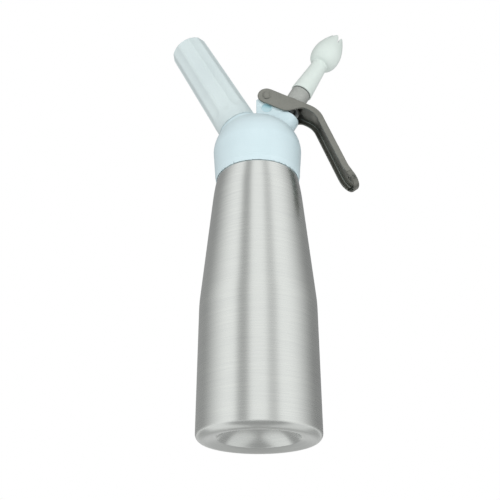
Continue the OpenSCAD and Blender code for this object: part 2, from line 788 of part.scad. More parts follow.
// Pressed channel with two arms round the ear
module lever() {
    edge = lever_line(handle_depth);
    edge_y = lever_end_r - handle_depth;
    below = lever_line(handle_depth + cut);
    web_low_h = pivot_h + lever_end_r - sheet_t;
    dimple_h = flange_h + dimple_gap + dimple_r;
    color(pressed_steel) {
        difference() {
            union() {
                on_lever() across(lever_w) polygon(concat(
                    arc(0, 0, lever_end_r, 270, 90, 2 * steps),
                    lever_line(0),
                    [for (i = [len(edge) - 1:-1:0]) edge[i]],
                    [for (i = [0:steps]) let (u = i / steps)
                        [arm_len + sweep_len * (1 - u),
                            edge_y - (edge_y + lever_end_r) * (1 - cos(180 * u)) / 2]]
                ));
                on_pad() bar(pad_r, -handle_depth, 0);
            }
            on_lever() across(lever_w - 2 * sheet_t) polygon(concat(
                [[-lever_end_r - cut, 0]],
                arc(0, 0, lever_end_r - sheet_t, 180, 90),
                lever_line(sheet_t),
                [below[len(below) - 1], [-lever_end_r - cut, -lever_end_r - cut]]
            ));
            on_pad() {
                bar(pad_r - sheet_t, -handle_depth - cut, -sheet_t);
                translate([pad_hole_shift, 0, 0]) bar(pad_hole_r, -handle_depth, cut);
                for (side = [-1, 1]) rotate(side * side_hole_turn)
                    translate([0, 0, -handle_depth / 2 - sheet_t / 2]) rotate([0, 90, 0])
                        bar(side_hole_r, 0, pad_r + cut);
            }
            on_lever() across(lever_w + cut) circle(r = pin_r + run_gap);
            along_outlet() bar(web_hole_r, web_low_h - cut, adapter_h);
        }
        for (side = [-1, 1]) along_outlet() translate([0, side * dimple_y, dimple_h]) {
            sphere(r = dimple_r);
            bar(dimple_r, 0, web_low_h + sheet_t - dimple_h);
        }
    }
}

// Rivet through the ear and both arms, with low domed heads
module lever_pin() {
    crown_r = (pow(pin_head_r, 2) + pow(pin_head_h, 2)) / (2 * pin_head_h);
    head_y = lever_w / 2 + run_gap;
    color(bare_metal) translate([pivot[0], 0, pivot[1]]) {
        across(2 * head_y) circle(r = pin_r);
        for (side = [-90, 90]) rotate([side, 0, 0]) translate([0, 0, head_y + pin_head_h - crown_r])
            rotate_extrude() intersection() {
                circle(r = crown_r);
                translate([0, crown_r - pin_head_h]) square([crown_r, pin_head_h]);
            }
    }
}

bottle();
head_gasket();
head();
inlet_insert();
inlet_washer();
inlet_nut();
piercing_pin();
charger_gasket();
check_valve();
charger();
charger_seal();
charger_holder();
holder_insert();
valve_bush();
stem_o_ring();
valve_spring();
valve_stem();
valve_seal();
valve_washer();
valve_nut();
lever();
lever_pin();
tip_adapter();
tip_seal();
decorating_tip();
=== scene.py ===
import bpy, bmesh, math
import numpy as np
from mathutils import Matrix


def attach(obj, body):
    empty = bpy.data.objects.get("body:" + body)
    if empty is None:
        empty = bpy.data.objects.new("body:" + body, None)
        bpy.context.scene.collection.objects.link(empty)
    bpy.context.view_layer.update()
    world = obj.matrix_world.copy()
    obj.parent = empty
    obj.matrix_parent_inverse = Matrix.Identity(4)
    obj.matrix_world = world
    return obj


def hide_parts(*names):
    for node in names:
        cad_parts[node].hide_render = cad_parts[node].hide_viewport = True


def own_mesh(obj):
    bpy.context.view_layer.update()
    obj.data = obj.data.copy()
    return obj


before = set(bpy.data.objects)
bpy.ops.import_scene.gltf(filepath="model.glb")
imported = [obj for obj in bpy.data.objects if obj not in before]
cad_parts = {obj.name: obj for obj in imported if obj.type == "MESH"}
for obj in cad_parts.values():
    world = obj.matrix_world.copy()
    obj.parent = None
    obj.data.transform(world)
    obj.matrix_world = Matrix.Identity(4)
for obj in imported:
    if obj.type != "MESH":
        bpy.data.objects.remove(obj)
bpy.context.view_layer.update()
scene = bpy.context.scene
scene.view_settings.view_transform = "Standard"
# Lengths below are in millimetres, and become metres where a mesh is made
mm = 0.001


# Shader and geometry nodes are written as expressions on their sockets
class Wire:
    def __init__(self, graph, socket):
        self.graph, self.socket = graph, socket

    def math(self, operation, *others):
        return self.graph.node("ShaderNodeMath", {"operation": operation}, [self, *others])

    def part(self, name):
        return Wire(self.graph, self.socket.node.outputs[name])

    def __add__(self, other): return self.math("ADD", other)
    def __sub__(self, other): return self.math("SUBTRACT", other)
    def __mul__(self, other): return self.math("MULTIPLY", other)
    def __truediv__(self, other): return self.math("DIVIDE", other)
    def __pow__(self, other): return self.math("POWER", other)
    __radd__, __rmul__ = __add__, __mul__

    def __rsub__(self, other):
        return self.graph.node("ShaderNodeMath", {"operation": "SUBTRACT"}, [other, self])


class Graph:
    def __init__(self, tree):
        self.tree = tree

    # Settings come first, then values or wires by socket number or name
    def node(self, kind, settings=None, inputs=(), output=0):
        made = self.tree.nodes.new(kind)
        for key, value in (settings or {}).items():
            setattr(made, key, value)
        pairs = inputs.items() if isinstance(inputs, dict) else enumerate(inputs)
        for key, value in pairs:
            if isinstance(value, Wire):
                self.tree.links.new(value.socket, made.inputs[key])
            else:
                made.inputs[key].default_value = value
        return Wire(self, made.outputs[output]) if len(made.outputs) else made

    def mixColour(self, factor, low, high):
        pad = lambda c: c if isinstance(c, Wire) else (*c, 1)
        return self.node("ShaderNodeMix", {"data_type": "RGBA"}, {0: factor, 6: pad(low), 7: pad(high)}, 2)

    def smooth(self, value, low, high, toLow=0.0, toHigh=1.0):
        return self.node("ShaderNodeMapRange", {"interpolation_type": "SMOOTHSTEP"},
                         [value, low, high, toLow, toHigh])

    # The three coordinates of a place, by default the object's own
    def axes(self, at=None):
        x = self.node("ShaderNodeSeparateXYZ", {}, [at or self.node("ShaderNodeTexCoord", output="Object")])
        return x, x.part("Y"), x.part("Z")

    def place(self, scale=(1, 1, 1), turn=(0, 0, 0), move=(0, 0, 0)):
        at = self.node("ShaderNodeTexCoord", output="Object")
        return self.node("ShaderNodeMapping", {}, {
            "Vector": at, "Location": move, "Rotation": turn, "Scale": scale})

    # Noise at one scale, in waves to the metre, or at one for each axis
    def noise(self, scale, detail=2, rough=0.5, turn=(0, 0, 0), move=(0, 0, 0)):
        at = self.place(scale if isinstance(scale, tuple) else (scale,) * 3, turn, move)
        return self.node("ShaderNodeTexNoise", {"noise_dimensions": "3D"}, {
            "Vector": at, "Scale": 1, "Detail": detail, "Roughness": rough})

    def bump(self, height, strength, distance):
        return self.node("ShaderNodeBump", {}, {
            "Strength": strength, "Distance": distance, "Height": height})


# A colour as the eye reads it, 0 to 255, as the light it gives
def linear(r, g, b):
    return tuple((c / 255 / 12.92) if c <= 10 else ((c / 255 + 0.055) / 1.055) ** 2.4 for c in (r, g, b))


def newMaterial(name):
    material = bpy.data.materials.new(name)
    material.use_nodes = True
    graph = Graph(material.node_tree)
    shader = material.node_tree.nodes["Principled BSDF"]
    return material, graph, shader


# Sets or links sockets of the shader by name; a tuple is a colour
def feed(graph, shader, values):
    for key, value in values.items():
        if isinstance(value, Wire):
            graph.tree.links.new(value.socket, shader.inputs[key])
        else:
            shader.inputs[key].default_value = value if not isinstance(value, tuple) else (*value, 1)


# Two slanted axes: the nozzle's leans to the right, the charger holder's to the left
outletZ, inletZ = 210, 212
outletTilt, inletTilt = math.radians(29.3), math.radians(27.9)

print("materials")
brushedSettings = {"colour": (230, 233, 229), "shade": (217, 220, 218), "rough": 0.27, "streak": 0.05,
                   "lines": (30, 30, 3400), "coarse": (14, 14, 420), "cloud": (9, 9, 14), "bump": 0.022,
                   "turned": 0.55, "rim": (0.0008, 0.0032), "rimRough": 0.12, "rimTint": 0.15,
                   "rimColour": (232, 234, 231)}


def brushedAluminium(s):
    material, g, shader = newMaterial("brushedAluminium")
    lines = g.noise(s["lines"], 3, 0.62)
    coarse = g.noise(s["coarse"])
    cloud = g.noise(s["cloud"], move=(3, 1, 2))
    grain = lines * 0.85 + coarse * 0.15
    tone = g.smooth(grain * 0.8 + cloud * 0.2, 0.32, 0.68)
    # the rim that the bottle stands on is rougher and a little brighter from handling
    worn = g.smooth(g.axes()[2], *s["rim"], 1.0, 0.0)
    rough = s["rough"] + (lines - 0.5) * s["streak"] + (cloud - 0.5) * 0.06 + worn * s["rimRough"]
    colour = g.mixColour(tone, linear(*s["shade"]), linear(*s["colour"]))
    colour = g.mixColour(worn * s["rimTint"], colour, linear(*s["rimColour"]))
    feed(g, shader, {"Base Color": colour, "Metallic": 1.0, "Roughness": rough,
                     "Anisotropic": s["turned"], "Anisotropic Rotation": 0.25,
                     "Normal": g.bump(grain, s["bump"], 0.0001)})
    return material


# Painted shade: a darker teal disc over the recess pressed into both sides of the turret, darkest along its
# upper arc as painted shadow, placed from the nozzle's axis, in metres
markShadeSettings = {"across": -0.0137, "along": 0.0392, "radius": 0.0040, "shadeTint": (158, 203, 213),
                "side": (0.0078, 0.0082), "blur": (0.0004, 0.0003), "upperShadow": (-0.0012, 0.0028)}


def satinCoat(name, colour, shade, rough, coat, grain, lift, mark=None):
    material, g, shader = newMaterial(name)
    cloud = g.noise(30, 3, 0.55)
    fine = g.noise(grain, 2, 0.6)
    peel = g.noise(620, 1)
    specks = g.smooth(g.noise(900, 1, move=(5, 2, 7)), 0.71, 0.77)
    tone = g.smooth(cloud * 0.7 + fine * 0.3, 0.33, 0.67)
    body = g.mixColour(tone, linear(*shade), linear(*colour))
    body = g.mixColour(specks * 0.12, body, linear(*[int(c * 0.82) for c in shade]))
    # painted shade: the recess on each flat side is tinted darker teal, as its shade
    if mark:
        x, y, z = g.axes()
        up = z - outletZ * mm
        q = x * math.cos(outletTilt) - up * math.sin(outletTilt) - mark["across"]
        h = x * math.sin(outletTilt) + up * math.cos(outletTilt) - mark["along"]
        inner, outer = mark["radius"] - mark["blur"][0], mark["radius"] + mark["blur"][1]
        shadeDisc = g.smooth((q * q + h * h) ** 0.5, inner, outer, 1.0, 0.0)
        # painted shadow: the disc is darkest towards its upper arc, under the recess's rim
        upperShadow = g.smooth(h - q * 0.3, *mark["upperShadow"])
        flat = g.smooth(y.math("ABSOLUTE"), *mark["side"])
        body = g.mixColour(shadeDisc * flat * (upperShadow * 0.55 + 0.45), body, linear(*mark["shadeTint"]))
    feed(g, shader, {"Base Color": body, "Roughness": rough + (cloud - 0.5) * 0.08 + (fine - 0.5) * 0.10,
                     "Coat Weight": coat, "Coat Roughness": 0.22,
                     "Normal": g.bump(peel * 0.6 + fine * 0.4, lift, 0.00008)})
    return material


def tumbledSteel(name, colour, shade, rough, grain=1500, lift=0.18, metallic=1.0, scratches=0.35, tilt=0.0):
    material, g, shader = newMaterial(name)
    fine = g.noise(grain, 3, 0.6)
    cloud = g.noise(60, 3, 0.6, move=(1, 4, 2))
    lines = g.noise((90, 2600, 2600), turn=(0, tilt, 0))
    nicks = g.smooth(lines, 0.60, 0.72)
    tone = g.smooth(fine * 0.55 + cloud * 0.45, 0.34, 0.66)
    body = g.mixColour(tone, linear(*shade), linear(*colour))
    body = g.mixColour(nicks * scratches, body, linear(*[min(255, int(c * 1.16)) for c in colour]))
    feed(g, shader, {"Base Color": body, "Metallic": metallic,
                     "Roughness": rough + (fine - 0.5) * 0.16 + (cloud - 0.5) * 0.12 - nicks * 0.06,
                     "Normal": g.bump(fine * 0.8 + lines * 0.2, lift, 0.00006)})
    return material


# Metal with the fine rings of a lathe about an axis that leans by the tilt
def turnedMetal(name, colour, shade, rough, tilt, pitch=0.00035):
    material, g, shader = newMaterial(name)
    x, y, z = g.axes(g.place(turn=(0, tilt, 0)))
    radius = (x * x + y * y) ** 0.5
    rings = ((z + radius * 0.7) * (math.tau / pitch)).math("SINE") * 0.5 + 0.5
    fine = g.noise(1400)
    cloud = g.noise(80)
    tone = g.smooth(rings * 0.25 + fine * 0.45 + cloud * 0.3, 0.25, 0.75)
    feed(g, shader, {"Base Color": g.mixColour(tone, linear(*shade), linear(*colour)), "Metallic": 1.0,
                     "Roughness": rough + (fine - 0.5) * 0.12 + (cloud - 0.5) * 0.08,
                     "Normal": g.bump(rings * 0.5 + fine * 0.5, 0.2, 0.00003)})
    return material


def softRubber(name, colour, shade, rough=0.62):
    material, g, shader = newMaterial(name)
    fine = g.noise(1800, 2, 0.6)
    cloud = g.noise(110, 3, 0.6)
    dust = g.smooth(cloud, 0.52, 0.75)
    body = g.mixColour(dust * 0.5 + fine * 0.2, linear(*shade), linear(*colour))
    feed(g, shader, {"Base Color": body, "Roughness": rough + (fine - 0.5) * 0.2 + dust * 0.1,
                     "Normal": g.bump(fine, 0.25, 0.00005)})
    return material


aluminium = brushedAluminium(brushedSettings)
lacquer = satinCoat("headLacquer", (213, 232, 238), (207, 227, 233), rough=0.42, coat=0.25, grain=1500,
                    lift=0.10, mark=markShadeSettings)
holderPlastic = satinCoat("holderPlastic", (213, 226, 227), (206, 219, 221), rough=0.46, coat=0.05,
                          grain=2200, lift=0.16)
tipPlastic = satinCoat("tipPlastic", (224, 233, 229), (216, 227, 222), rough=0.44, coat=0.10, grain=2000,
                       lift=0.12)
whitePlastic = satinCoat("whitePlastic", (232, 232, 226), (222, 222, 216), rough=0.5, coat=0.0, grain=1800,
                         lift=0.12)
leverSteel = tumbledSteel("pressedSteel", (147, 148, 141), (130, 131, 125), rough=0.32)
blastedSteel = tumbledSteel("blastedSteel", (208, 211, 206), (178, 182, 178), rough=0.55, grain=2600,
                            lift=0.3, metallic=0.85, scratches=0.1, tilt=outletTilt)
brightSteel = tumbledSteel("brightSteel", (206, 208, 209), (192, 195, 197), rough=0.2, grain=900, lift=0.05,
                           scratches=0.2)
springSteel = tumbledSteel("springSteel", (158, 160, 163), (138, 141, 144), rough=0.3, grain=1800, lift=0.08)
turnedSteel = turnedMetal("turnedSteel", (178, 180, 178), (160, 163, 162), rough=0.3, tilt=-outletTilt)
inletSteel = turnedMetal("inletSteel", (178, 180, 178), (160, 163, 162), rough=0.3, tilt=inletTilt)
brass = turnedMetal("brass", (214, 183, 118), (196, 163, 98), rough=0.3, tilt=inletTilt)
chargerSteel = turnedMetal("chargerSteel", (186, 189, 193), (170, 174, 179), rough=0.28, tilt=inletTilt,
                           pitch=0.0006)
blackRubber = softRubber("blackRubber", (46, 46, 48), (24, 24, 26))
greySilicone = softRubber("greySilicone", (168, 170, 173), (150, 152, 156), rough=0.5)


def tilted(origin, angle):
    return Matrix.Translation(origin) @ Matrix.Rotation(angle, 4, "Y")


toOutlet = tilted((0, 0, outletZ), outletTilt)
toInlet = tilted((0, 0, inletZ), -inletTilt)
upright = Matrix.Identity(4)


def newObject(name, data):
    made = bpy.data.objects.new(name, data)
    scene.collection.objects.link(made)
    return made


def newPiece(name, points, faces, matrix, material, crease=None):
    mesh = bpy.data.meshes.new(name)
    points = np.asarray(points, float)
    turn = np.array(matrix)[:3]
    points = (points @ turn[:, :3].T + turn[:, 3]) * mm
    mesh.from_pydata(points.tolist(), [], [tuple(map(int, f)) for f in faces])
    piece = newObject(name, mesh)
    finishMesh(piece, material, crease)
    return piece


def finishMesh(piece, material, crease=None):
    mesh = piece.data
    work = bmesh.new()
    work.from_mesh(mesh)
    bmesh.ops.remove_doubles(work, verts=work.verts, dist=2e-7)
    bmesh.ops.recalc_face_normals(work, faces=work.faces)
    work.to_mesh(mesh)
    work.free()
    mesh.materials.clear()
    mesh.materials.append(material)
    mesh.shade_smooth()
    if crease:
        mesh.set_sharp_from_angle(angle=math.radians(crease))


# Turns an outline of (radius, height) about the axis
def lathe(name, outline, matrix, material, around=192, closed=True, crease=32):
    outline = np.asarray(outline, float)
    angles = np.linspace(0, math.tau, around, endpoint=False)
    count = len(outline)
    radius = np.repeat(outline[None, :, 0], around, 0)
    height = np.repeat(outline[None, :, 1], around, 0)
    turn = np.repeat(angles[:, None], count, 1)
    points = np.stack([radius * np.cos(turn), radius * np.sin(turn), height], -1).reshape(-1, 3)
    i, j = np.meshgrid(np.arange(around), np.arange(count if closed else count - 1), indexing="ij")
    i2, j2 = (i + 1) % around, (j + 1) % count
    faces = np.stack([i * count + j, i2 * count + j, i2 * count + j2, i * count + j2], -1).reshape(-1, 4)
    return newPiece(name, points, faces, matrix, material, crease)


def arc(x, y, r, start, end, count=8):
    angles = np.radians(np.linspace(start, end, count + 1))
    return [(x + r * math.cos(a), y + r * math.sin(a)) for a in angles]


# Rounds the corners of an outline of (x, y, radius) points
def rounded(corners, closed=True, count=5):
    result = []
    for k, (x, y, r) in enumerate(corners):
        if r == 0 or (not closed and k in (0, len(corners) - 1)):
            result.append((x, y))
            continue
        p = np.array((x, y))
        a = np.array(corners[k - 1][:2]) - p
        b = np.array(corners[(k + 1) % len(corners)][:2]) - p
        a, b = a / np.linalg.norm(a), b / np.linalg.norm(b)
        half = math.acos(np.clip(a @ b, -1, 1)) / 2
        reach = r / math.tan(half)
        centre = p + (a + b) / np.linalg.norm(a + b) * r / math.sin(half)
        v0, v1 = p + a * reach - centre, p + b * reach - centre
        a0, a1 = math.atan2(v0[1], v0[0]), math.atan2(v1[1], v1[0])
        swing = (a1 - a0 + math.pi) % math.tau - math.pi
        for i in range(count + 1):
            t = a0 + swing * i / count
            result.append((centre[0] + r * math.cos(t), centre[1] + r * math.sin(t)))
    return result


# A rounded outline whose corners name a piece's sizes
def outlineOf(s, corners, closed=True, count=5):
    return rounded([(s[across], s[along], bend) for across, along, bend in corners], closed, count)


def smin(a, b, k):
    h = np.clip(0.5 + 0.5 * (b - a) / k, 0, 1)
    return b + (a - b) * h - k * h * (1 - h)


def smax(a, b, k):
    return -smin(-a, -b, k)


# Meshes the zero surface of a field: one point per crossed cell, drawn on to the surface
def meshFromField(name, field, low, high, cell, matrix, material):
    low = np.array(low, float)
    size = np.ceil((np.array(high) - low) / cell).astype(int) + 1
    grid = np.meshgrid(*[low[i] + cell * np.arange(size[i]) for i in range(3)], indexing="ij")
    values = field(*grid)
    inside = values < 0
    cells = size - 1
    total = np.zeros((*cells, 3), np.float32)
    hits = np.zeros(cells, np.float32)
    edges = []
    for axis in range(3):
        near = [slice(None)] * 3
        far = [slice(None)] * 3
        near[axis], far[axis] = slice(0, -1), slice(1, None)
        v0, v1 = values[tuple(near)], values[tuple(far)]
        crossed = inside[tuple(near)] != inside[tuple(far)]
        at = np.argwhere(crossed)
        step = (v0[crossed] / (v0[crossed] - v1[crossed]))[:, None]
        point = low + cell * at
        point[:, axis] += cell * step[:, 0]
        b, c = (axis + 1) % 3, (axis + 2) % 3
        ring = []
        for db, dc in ((-1, -1), (0, -1), (0, 0), (-1, 0)):
            spot = at.copy()
            spot[:, b] += db
            spot[:, c] += dc
            ring.append(spot)
            np.add.at(total, tuple(spot.T), point)
            np.add.at(hits, tuple(spot.T), 1)
        edges.append((ring, inside[tuple(near)][crossed]))
    active = hits > 0
    number = np.full(cells, -1)
    number[active] = np.arange(active.sum())
    points = total[active] / hits[active][:, None]
    start = points.copy()
    for _ in range(5):
        value = field(*points.T)
        slope = np.stack([(field(*(points + step).T) - field(*(points - step).T)) / (0.1 * cell)
                          for step in np.eye(3) * cell * 0.05], -1)
        points = points - (value / np.maximum((slope ** 2).sum(1), 0.05))[:, None] * slope
        points = start + np.clip(points - start, -0.6 * cell, 0.6 * cell)
    faces = []
    for ring, rising in edges:
        quad = np.stack([number[tuple(spot.T)] for spot in ring], -1)
        quad[~rising] = quad[~rising][:, ::-1]
        faces.append(quad)
    return newPiece(name, points, np.concatenate(faces), matrix, material)


# Starts a geometry node tree with named sizes and a finish, and a piece too where it shapes one
def startTree(name, sizes, result, shaped=None):
    tree = bpy.data.node_groups.new(name, "GeometryNodeTree")
    if shaped:
        tree.interface.new_socket(shaped, in_out="INPUT", socket_type="NodeSocketGeometry")
    for label in sizes:
        tree.interface.new_socket(label, in_out="INPUT", socket_type="NodeSocketFloat")
    tree.interface.new_socket("Finish", in_out="INPUT", socket_type="NodeSocketMaterial")
    tree.interface.new_socket(result, in_out="OUTPUT", socket_type="NodeSocketGeometry")
    g = Graph(tree)
    given = g.node("NodeGroupInput")
    return g, given, [given.part(label) for label in sizes]


def endTree(g, given, made):
    real = g.node("GeometryNodeRealizeInstances", {}, [made])
    last = g.node("GeometryNodeSetMaterial", {}, {"Geometry": real, "Material": given.part("Finish")})
    g.node("NodeGroupOutput", {}, [last])
    return g.tree


# A screw thread as a curve with a ridge profile
def threadTree():
    g, given, (radius, pitch, turns, ridge) = startTree(
        "screwThread", ("Radius", "Pitch", "Turns", "Ridge"), "Thread")
    path = g.node("GeometryNodeCurveSpiral", {}, {
        "Resolution": 48, "Rotations": turns, "Start Radius": radius, "End Radius": radius,
        "Height": turns * pitch})
    # the ridge fades in and out over the first and last eighth of its length
    along = g.node("GeometryNodeSplineParameter", {}, {}, "Factor")
    fade = g.smooth(along, 0.0, 0.12) * g.smooth(along, 0.88, 1.0, 1.0, 0.0)
    ring = g.node("GeometryNodeCurvePrimitiveCircle", {}, {"Resolution": 8, "Radius": ridge})
    solid = g.node("GeometryNodeCurveToMesh", {}, {
        "Curve": path, "Profile Curve": ring, "Fill Caps": True, "Scale": fade * 0.92 + 0.08})
    return endTree(g, given, solid)


# Runs a node tree on a host and returns the result as a plain mesh object
def bake(name, tree, values, host=None, matrix=upright, crease=40):
    host = host or bpy.data.objects.new(name + "Host", bpy.data.meshes.new(name + "Host"))
    if host.name not in scene.collection.objects:
        scene.collection.objects.link(host)
    modifier = host.modifiers.new("make", "NODES")
    modifier.node_group = tree
    for item in tree.interface.items_tree:
        if item.in_out == "INPUT" and item.name in values:
            modifier[item.identifier] = values[item.name]
    evaluated = host.evaluated_get(bpy.context.evaluated_depsgraph_get())
    mesh = bpy.data.meshes.new_from_object(evaluated)
    mesh.name = name
    host.modifiers.remove(modifier)
    bpy.data.objects.remove(host)
    place = matrix.copy()
    place.translation = place.translation * mm
    mesh.transform(place)
    piece = newObject(name, mesh)
    finishMesh(piece, mesh.materials[0], crease)
    return piece


thread = threadTree()


# The screw thread of a piece, from the piece's sizes
def bakeThread(name, s, radius, low, axis, finish):
    return bake(name, thread, {
        "Radius": (radius - s["sunk"]) * mm, "Pitch": s["pitch"] * mm, "Turns": s["turns"],
        "Ridge": s["ridge"] * mm, "Finish": finish}, matrix=axis @ Matrix.Translation((0, 0, low)))


print("bottle")
bottleSize = {"bodyR": 39.7, "straight": 91, "coneTop": 192.5, "coneTopR": 30.5, "crown": 22, "crownR": 200,
              "blendR": 110, "edge": 1, "edgeTurn": 20, "wall": 1.6, "cornerR": 4.5, "cornerH": 4.8,
              "ringR": 35.0, "ringBend": 1.6, "puntR": 26.8, "puntRise": 2, "puntDepth": 13, "puntEdge": 1.2,
              "mouthTurn": 250, "mouthShare": (0.35, 0.94), "neckR": 26.3, "boreR": 22.5, "neckTop": 206,
              "pitch": 5, "turns": 1.9, "ridge": 0.85, "sunk": 0.1, "threadLift": 2.2}


def bottleOutline(s):
    lean = math.degrees(math.atan((s["bodyR"] - s["coneTopR"]) / (s["coneTop"] - s["straight"])))
    low = s["coneTop"] - s["crown"]
    slope = math.tan(math.radians(lean))
    lowR = s["coneTopR"] + s["crown"] * slope

    def crownArc(r, top):
        x = lowR - s["crownR"] * math.cos(math.radians(lean))
        z = low - s["crownR"] * math.sin(math.radians(lean))
        return arc(x, z, r, lean, math.degrees(math.asin((top - z) / r)), 24)

    ball = (s["puntR"] ** 2 + s["puntDepth"] ** 2) / (2 * s["puntDepth"])
    ballZ = s["puntRise"] + s["puntDepth"] - ball
    edgeZ = s["puntRise"] + s["puntEdge"]
    edgeX = math.sqrt((ball + s["puntEdge"]) ** 2 - (edgeZ - ballZ) ** 2)
    edgeA = math.degrees(math.atan2(edgeZ - ballZ, edgeX))
    blendZ = s["straight"] - s["blendR"] * math.tan(math.radians(lean / 2))
    cornerX = s["bodyR"] - s["cornerR"]
    top = crownArc(s["crownR"], s["coneTop"] - s["edge"])
    inTop = s["coneTop"] - 2 * s["wall"]
    innerA = math.degrees(math.asin((s["wall"] + s["puntRise"] - ballZ) / (ball + s["wall"])))
    side = [(s["bodyR"], z) for z in np.linspace(10, blendZ - 2, 20)]
    cone = [(lowR + (low - z) * slope, z) for z in np.linspace(s["straight"] + 8, low - 2, 24)]
    # the hollow ring between the dome's mouth and the corner, then the corner itself
    mouthR, mouthZ = (place - share * s["puntEdge"] for place, share in zip((edgeX, edgeZ), s["mouthShare"]))
    bowl = [(mouthR + (s["ringR"] - mouthR) * t, mouthZ * (1 - t) ** s["ringBend"])
            for t in np.linspace(0.06, 1, 12)]
    corner = [(s["bodyR"] - (s["bodyR"] - s["ringR"]) * (1 - math.cos(a)), s["cornerH"] * (1 - math.sin(a)))
              for a in np.linspace(math.pi / 2, 0, 26)]
    return (arc(0, ballZ, ball, 90, edgeA, 40)
            + arc(edgeX, edgeZ, s["puntEdge"], 180 + edgeA, s["mouthTurn"], 8)
            + bowl + corner[1:] + side
            + arc(s["bodyR"] - s["blendR"], blendZ, s["blendR"], 0, lean, 12)
            + cone + top
            + arc(top[-1][0] - s["edge"], s["coneTop"] - s["edge"], s["edge"], s["edgeTurn"], 90, 6)
            + rounded([(s["neckR"], s["coneTop"], 0.5), (s["neckR"], s["neckTop"], 0.5),
                       (s["boreR"], s["neckTop"], 0.4), (s["boreR"], inTop, 0)], False, 5)
            + crownArc(s["crownR"] - s["wall"], inTop - s["wall"])[::-1]
            + arc(s["bodyR"] - s["blendR"], blendZ, s["blendR"] - s["wall"], lean, 0, 8)
            + arc(cornerX, s["cornerR"], s["cornerR"] - s["wall"], 0, -90, 12)
            + arc(0, ballZ, ball + s["wall"], innerA, 90, 24))


bottle = lathe("brushedBottle", bottleOutline(bottleSize), upright, aluminium, 224, closed=False)
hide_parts("bottle")
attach(bottle, "bottle")
neckThread = bakeThread("neckThread", bottleSize, bottleSize["neckR"],
                        bottleSize["coneTop"] + bottleSize["threadLift"], upright, aluminium)
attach(neckThread, "bottle")

print("head")
headSize = {"lipZ": 189, "lipR": 31.2, "lipIn": 0.7, "lipTop": 193.4, "bead": 0.26, "beadSunk": 0.18,
            "domeZ": 214, "domeR": 32.8, "domeH": 29.1, "lipBore": 29.99, "coneTop": 192.8, "neckBore": 27.4,
            "seatZ": 208.4, "cavityR": 21.5, "turretTop": 44.2, "turretLow": 18, "turretW": 17.6, "nose": 3,
            "back": 13.7, "pivot": (7.253, 261.544), "earR": 5.2, "earBack": 7.9, "earDrop": 2.1,
            "earLow": 200, "collarR": 15.9, "collarLow": 20, "flat": 31, "spotR": 16, "markR": 4,
            "markInset": 1, "markDepth": 0.45, "pinHole": 2.05, "outletBoss": (8.4, 24.3, 31),
            "inletBoss": (10.54, 22, 30), "cell": 0.52}
# Passages on the nozzle's axis and on the holder's, each a radius between two heights
outletBores = ((8.4, 14, 24.3), (5.2, 23, 32), (6.4, 31, 46))
inletBores = ((10.54, 11, 22), (6.55, 21, 33))
# How softly the forms of the head run into each other
headBlend = {"lip": 0.15, "bead": 0.25, "turret": 0.8, "ear": 1.2, "side": 1.6, "edge": 0.9, "dome": 2.6,
             "collarTop": 0.7, "collar": 1.8, "spot": 0.3, "hollow": 0.4, "bore": 0.3, "mark": 0.35}


def capsule(rho, along, r, low, high):
    return np.maximum(rho - r, np.maximum(low - along, along - high))


def tiltedAxes(x, z, origin, angle):
    return (x * math.cos(angle) - (z - origin) * math.sin(angle),
            x * math.sin(angle) + (z - origin) * math.cos(angle))


